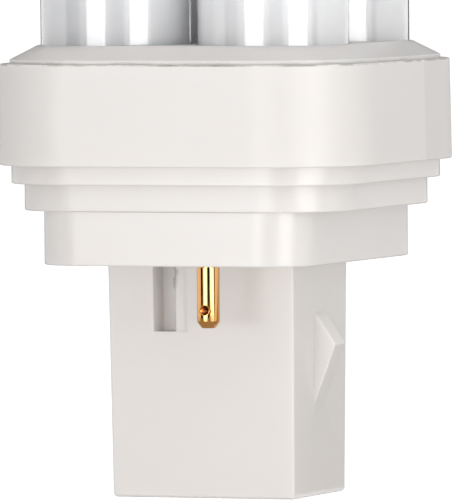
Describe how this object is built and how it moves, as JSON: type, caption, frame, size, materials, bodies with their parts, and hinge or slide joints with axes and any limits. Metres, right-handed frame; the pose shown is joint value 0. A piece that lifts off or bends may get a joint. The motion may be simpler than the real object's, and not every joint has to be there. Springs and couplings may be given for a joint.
{
  "type": "two pin compact fluorescent lamp",
  "caption": "Plug-in compact fluorescent lamp: parallel white glass limbs on a stepped, rounded square base with a latching plug post and brass contact pins.",
  "frame": {"origin": "middle of the plug post's flat end", "axes": "+Z from the plug post up along the glass limbs; the front contact pin is on the -Y side and the latch ridges face +X and -X"},
  "size_m": [0.0332, 0.0332, 0.152],
  "materials": {
    "coated_glass": "clear glass tube with white powder coating inside, so it can't be seen through",
    "base_plastic": "moulded off-white heat resistant plastic, satin",
    "pin_brass": "drawn brass, bright",
    "cement": "set white cement, matt",
    "clear_glass": "clear blown glass",
    "capacitor_case": "dipped brown coating",
    "lead_wire": "nickel plated wire",
    "lead_sleeve": "woven glass fibre sleeve",
    "splice_brass": "crimped brass"
  },
  "bodies": {
    "root": {"discharge_tube": "coated_glass", "tube_holder": "base_plastic", "tube_cement": "cement", "base_shell": "base_plastic", "contact_pin_front": "pin_brass", "contact_pin_rear": "pin_brass", "starter_bulb": "clear_glass", "starter_capacitor": "capacitor_case", "pin_lead_front": "lead_wire", "pin_lead_rear": "lead_wire", "pin_lead_sleeve_front": "lead_sleeve", "pin_lead_sleeve_rear": "lead_sleeve", "electrode_lead_front": "lead_wire", "electrode_lead_rear": "lead_wire", "splice_front": "splice_brass", "splice_rear": "splice_brass", "starter_lead_front": "lead_wire", "starter_lead_rear": "lead_wire", "capacitor_lead_front": "lead_wire", "capacitor_lead_rear": "lead_wire", "capacitor_sleeve_front": "lead_sleeve", "capacitor_sleeve_rear": "lead_sleeve"}
  },
  "joints": []
}
